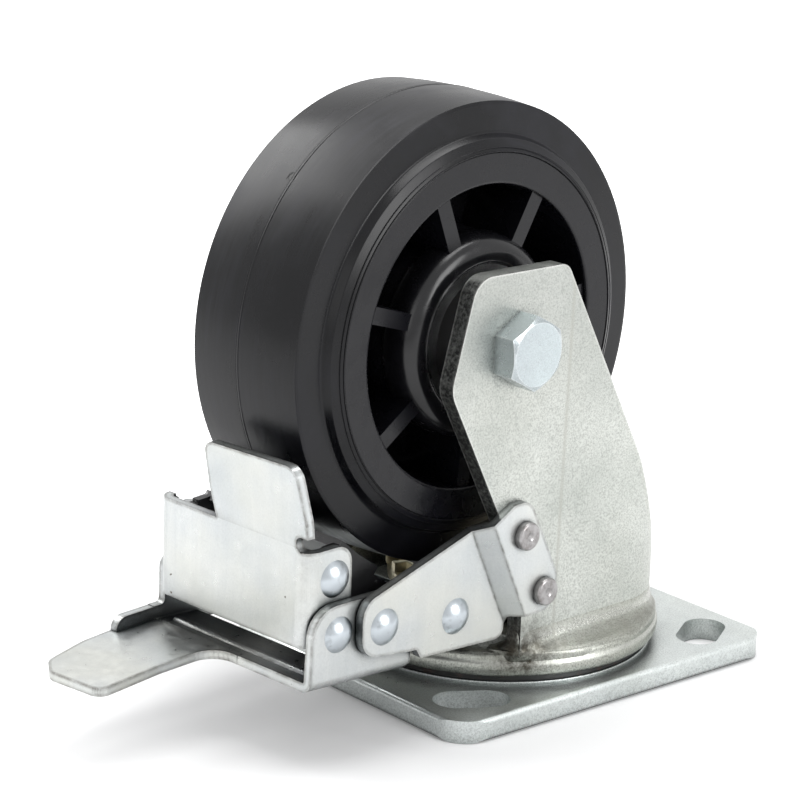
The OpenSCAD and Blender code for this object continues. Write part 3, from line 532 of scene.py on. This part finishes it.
for side, side_name in ((1, "right"), (-1, "left")):
    flare_verts = []
    for k, (x, y) in enumerate(leg_outer):
        before = leg_outer[max(k - 1, 0)]
        after = leg_outer[min(k + 1, len(leg_outer) - 1)]
        along = Vector((after[0] - before[0], after[1] - before[1])).normalized()
        out = Vector((along.y, -along.x))
        room = min(1.0, (len(leg_outer) - 1 - k) / end_spread)
        torn = max(0.0, 1 - abs(k - torn_at) / torn_spread)
        reach = least_reach
        while reach < most_reach and (Vector((x, y)) + out * reach).length < rim_inside:
            reach += reach_step
        for j, (share, height) in enumerate(flare_section):
            shift = (sunk, laid_on)[j] if j < 2 else proud + reach * room * share
            rough = torn * wobble.uniform(-1, 1) if 1 < j < 9 else wobble.uniform(-0.06, 0.06)
            spot = Vector((x, y)) + out * (shift + ragged * max(rough, -0.2))
            limit = rim_limits.get(j)
            if limit and spot.length > limit:
                spot = spot.normalized() * limit
            height += 0.8 * rough * (j > 1)
            flare_verts.append((spot.x * mm, side * spot.y * mm, height * mm))
    flare = mesh_piece("leg_flare_" + side_name, flare_verts, grid_faces(len(leg_outer), len(flare_section)),
                       grimy_and_shaded_zinc, "fork_group")
    rounder = flare.modifiers.new("rounder", "SUBSURF")
    rounder.levels = rounder.render_levels = 2

# Axle and bearings: a zinc plated bolt with a chamfered head and its lock nut clamp a steel sleeve
# and two spacers between the legs. The ball bearings are pressed into the hub, under black shields.
# Painted highlight, partly wear: brighter corners on the bolt head and nut.
def bolt_wear_and_highlight(look, colour, rough):
    return worn_and_highlit_corners(look, colour, rough, (0.86, 0.89, 0.90), 0.8 * mm, 0.05)


bolt_zinc = zinc("bolt zinc", (0.52, 0.58, 0.60), (0.45, 0.49, 0.51), 0.24, 0.00003, 0.2, 4 * mm,
                 bolt_wear_and_highlight)
dress("axle_bolt", bolt_zinc)
dress("axle_nut", bolt_zinc)
turned_look = Shader("turned steel")
turned_colour = turned_look.blend(turned_look.range(turned_look.noise(200, 3), 0.35, 0.65),
                                  (0.56, 0.56, 0.56), (0.40, 0.40, 0.41))
turned_steel = turned_look.finish(turned_colour, 0.26,
                                  turned_look.bump(turned_look.noise(1400, 2), 0.2, 0.00004), 1.0)
for node_name in ("axle_sleeve", "spacer_right", "spacer_left", "bearing_inner_right", "bearing_inner_left",
                  "bearing_outer_right", "bearing_outer_left", "lever_bushes"):
    dress(node_name, turned_steel)
dress("bearing_balls", ball_steel)
shield_look = Shader("bearing shield")
shield_black = shield_look.finish(
    shield_look.blend(shield_look.noise(300, 3), (0.006, 0.006, 0.006), (0.016, 0.016, 0.016)), 0.45,
    shield_look.bump(shield_look.noise(900, 2), 0.2, 0.00005))
dress("bearing_seals", shield_black)

# Thread ends: the axle bolt's and the king pin's threads, which show past their nuts. They are
# rolled on the steel shanks and plated with them.
axle_x, axle_z = -35.2 * mm, 103.5 * mm


def about_axle(radius, turn, along):
    """A spot by its distance from the axle, its turn about it, and its distance to the left."""
    return (axle_x + radius * math.cos(turn), along, axle_z + radius * math.sin(turn))


def thread(name, across, pitch, start, end, place, material, body):
    """A rolled thread from start to end along a shaft of the given diameter."""
    turns, rows, fading_rows = 40, int((end - start) / (pitch / 5)), 5
    crest, depth = 0.28 * mm, 0.7 * mm
    verts = []
    for i in range(rows + 1):
        along = start + (end - start) * i / rows
        fade = min(1, (rows - i) / fading_rows)
        for j in range(turns):
            ramp = (along / pitch - j / turns) % 1
            groove = abs(ramp - 0.5) * 2
            radius = across / 2 + crest - depth * groove * fade - depth * (1 - fade)
            verts.append(place(radius, math.tau * j / turns, along))
    return mesh_piece(name, verts, grid_faces(rows + 1, turns, False, True), material, body)


thread("axle_thread", 12 * mm, 1.75 * mm, 48.5 * mm, 50.8 * mm, about_axle,
       bolt_zinc, "fork_group")
thread("king_pin_thread", 14 * mm, 2.0 * mm, 25.0 * mm, 28.7 * mm,
       lambda radius, turn, along: (radius * math.cos(turn), radius * math.sin(turn), along),
       worn_and_shaded_steel, "base")

# Wheel core: one injection moulding in glossy black nylon, with a stepped hub, thin spokes, a web
# and a wide rim. The two ball bearings sit in its hub.
core_look = Shader("core nylon")
core_colour = core_look.blend(core_look.noise(60, 3), (0.003, 0.003, 0.0045), (0.008, 0.008, 0.011))
# Painted shade: nearly black deep in the spoke pockets and wherever another face is within 14 mm.
core_colour = core_look.blend(core_look.crevice_shade(14 * mm, 0.1, 0.7), (0.001, 0.001, 0.0014), core_colour)
core_black = core_look.finish(
    core_colour, core_look.range(core_look.noise(180, 4), 0.3, 0.7, 0.2, 0.34),
    core_look.bump(core_look.noise(500, 2), 0.12, 0.0001), **{"Specular IOR Level": 0.34})
dress("wheel_core", core_black)

# Hub lips: the core's hub ends in a broad, smoothly rounded lip round each bearing, moulded in one
# with it in glossy nylon.
lip_look = Shader("hub lip nylon")
lip_black = lip_look.finish(
    lip_look.blend(lip_look.noise(80, 3), (0.004, 0.004, 0.005), (0.010, 0.010, 0.012)),
    lip_look.range(lip_look.noise(240, 4), 0.3, 0.7, 0.16, 0.3),
    lip_look.bump(lip_look.noise(420, 2), 0.12, 0.0001), **{"Specular IOR Level": 0.5})
lip_profile = (
    (20.3, 23.0), (20.5, 24.7), (21.4, 24.95), (22.6, 25.15), (24.0, 25.1), (25.3, 24.6), (26.4, 23.7),
    (27.2, 22.4), (27.7, 20.9), (27.9, 19.0), (27.9, 14.0), (26.0, 13.0))
lip_steps = 160
for side, side_name in ((-1, "right"), (1, "left")):
    lip_verts, lip_faces = turn_profile(
        [(radius * mm, side * along * mm) for radius, along in lip_profile], lip_steps, about_axle)
    lip = mesh_piece("hub_lip_" + side_name, lip_verts, lip_faces, lip_black, "wheel_group")
    rounder = lip.modifiers.new("rounder", "SUBSURF")
    rounder.levels = rounder.render_levels = 1

# Tyre: black polyurethane cast on the core, satin on the tread, with light handling scuffs along
# its turning direction and one small nick beside the seam.
nick_spot = (-80.2 * mm, -3.0 * mm, 148.1 * mm)
tyre_look = Shader("tyre polyurethane")
tyre_streaks = tyre_look.range(tyre_look.noise(300, 5, 0.7, (0.10, 1.6, 0.10)), 0.40, 0.66)
tyre_patch = tyre_look.range(tyre_look.noise(32, 4, 0.6), 0.38, 0.66)
tyre_scuffs = tyre_look.maths("MULTIPLY", tyre_streaks, tyre_patch)
tyre_marks = tyre_look.range(tyre_look.noise(210, 5, 0.7), 0.68, 0.76, 0.0, 0.5)
nick = tyre_look.near(nick_spot, 0.1 * mm, 0.7 * mm, 1.8 * mm)
tyre_colour = tyre_look.blend(tyre_scuffs, (0.0035, 0.0036, 0.0048), (0.013, 0.013, 0.018))
tyre_colour = tyre_look.blend(tyre_marks, tyre_colour, (0.03, 0.03, 0.035))
tyre_colour = tyre_look.blend(nick, tyre_colour, (0.001, 0.001, 0.001))
tyre_rough = tyre_look.maths("ADD", tyre_look.range(tyre_patch, 0, 1, 0.25, 0.33),
                             tyre_look.maths("MULTIPLY", tyre_scuffs, 0.12))
tyre_normal = tyre_look.bump(tyre_look.noise(420, 3, 0.6, (0.25, 1.5, 0.25)), 0.16, 0.0001)
tyre_normal = tyre_look.bump(tyre_look.maths("MULTIPLY", nick, -1.0), 0.25, 0.0004, tyre_normal)
tyre_black = tyre_look.finish(tyre_colour, tyre_rough, tyre_normal, **{"Specular IOR Level": 0.30})
dress("tyre", tyre_black)

# Flash lines: thin raised lines that the tyre's mould leaves round the middle of the tread and where
# the polyurethane meets the core. They are part of the casting.
flash_lines = (("tread_flash", 63.42, 1.5, 0.35, 0.16), ("tread_flash_fine", 63.44, 2.3, 0.12, 0.08),
               ("joint_flash_right", 49.9, -24.0, 0.14, 0.2), ("step_flash_right", 51.0, -23.75, 0.10, 0.14),
               ("joint_flash_left", 49.9, 24.0, 0.14, 0.2), ("step_flash_left", 51.0, 23.75, 0.10, 0.14))
flash_corners, flash_steps = 8, 256
for flash_name, radius, along, wide, proud in flash_lines:
    outward, sideways = (proud, wide) if flash_name.startswith("tread") else (wide, proud)
    section = []
    for k in range(flash_corners):
        turn = math.tau * k / flash_corners
        section.append(((radius + math.cos(turn) * outward) * mm, (along + math.sin(turn) * sideways) * mm))
    flash_verts, flash_faces = turn_profile(section, flash_steps, about_axle)
    mesh_piece(flash_name, flash_verts, flash_faces, tyre_black, "wheel_group")

# Brake bracket: two joggled arms pressed from 2.5 mm zinc plated sheet, each held on its leg by two
# flat rivets. The pedal and the brake lever hang between them on domed rivets and a long pin.
def brake_wear_and_shade(look, colour, rough):
    """Faint streaks up the sheet, bluish and yellow tints, dark corner and bend lines of dirt and painted
    shade, painted shade deep between the parts, and a few deep pits.
    """
    streak = look.range(look.noise(60, 4, 0.6, (7, 7, 0.5)), 0.35, 0.7, 0.0, 0.3)
    colour = look.blend(streak, colour, (0.50, 0.53, 0.55))
    tint = look.range(look.noise(28, 3), 0.42, 0.62)
    colour = look.blend(look.range(tint, 0, 1, 0.0, 0.35), colour, (0.72, 0.71, 0.62))
    # Partly dirt, partly painted shade: dark lines along corners and bends.
    corner = look.maths("MULTIPLY", look.range(on_flat(look, 1.4 * mm, 4), 0.999, 0.985),
                        look.range(look.noise(260, 4, 0.7), 0.38, 0.6, 0.35, 0.9))
    colour = look.blend(corner, colour, (0.11, 0.10, 0.085))
    # Painted shade: dark bluish colour deep under and between the parts, within 30 mm of another face.
    deep = look.crevice_shade(30 * mm, 0.36, 0.82)
    colour = look.blend(deep, (0.035, 0.042, 0.055), colour)
    pits = look.maths("MULTIPLY", look.range(look.noise(520, 2), 0.73, 0.76),
                      look.range(look.noise(60, 2), 0.56, 0.6))
    return look.blend(pits, colour, (0.12, 0.10, 0.08)), rough


brake_zinc = zinc("brake zinc", (0.68, 0.70, 0.695), (0.57, 0.60, 0.605), 0.33, 0.00003, 0.16, 5 * mm,
                  brake_wear_and_shade)
brake_edge = 0.35 * mm
for node_name in ("bracket_arm_right", "bracket_arm_left"):
    dress(node_name, brake_zinc, brake_edge)
for node_name in ("pedal_rivets", "lever_pin", "link_rivets", "tab_rivets"):
    dress(node_name, worn_and_shaded_steel)
struck_look = Shader("struck rivet steel")
struck_colour = struck_look.blend(struck_look.range(struck_look.noise(380, 4, 0.7), 0.4, 0.66),
                                  (0.42, 0.41, 0.41), (0.25, 0.235, 0.23))
# Painted shade: dark where another face is within 3 mm, round each head.
struck_colour = struck_look.blend(struck_look.crevice_shade(3 * mm, 0.3, 0.9), (0.04, 0.04, 0.04), struck_colour)
struck_normal = struck_look.bump(struck_look.noise(900, 2, 0.5), 0.4, 0.0001)
struck_steel = struck_look.finish(struck_colour, 0.3, struck_normal, 1.0)
dress("bracket_rivets", struck_steel)

# Pedal and release tab: two channels bent from the same zinc plated sheet. The pedal swings on the
# bracket's domed rivets, and the tab hinges inside it on two more.
dress("pedal", brake_zinc, brake_edge)
dress("release_tab", brake_zinc, brake_edge)

# Brake lever: two side plates, the shoe under the tread and the lock's tooth, bent and welded from
# black painted steel, with small bright chips. It swings on the long pin.
lever_look = Shader("lever black")
lever_colour = lever_look.blend(lever_look.range(lever_look.noise(220, 5, 0.7), 0.62, 0.7),
                                (0.014, 0.014, 0.015), (0.3, 0.3, 0.3))
lever_black = lever_look.finish(lever_colour, 0.35,
                                lever_look.bump(lever_look.noise(600, 3), 0.25, 0.0001), 0.3)
dress("brake_lever", lever_black, 0.3 * mm)
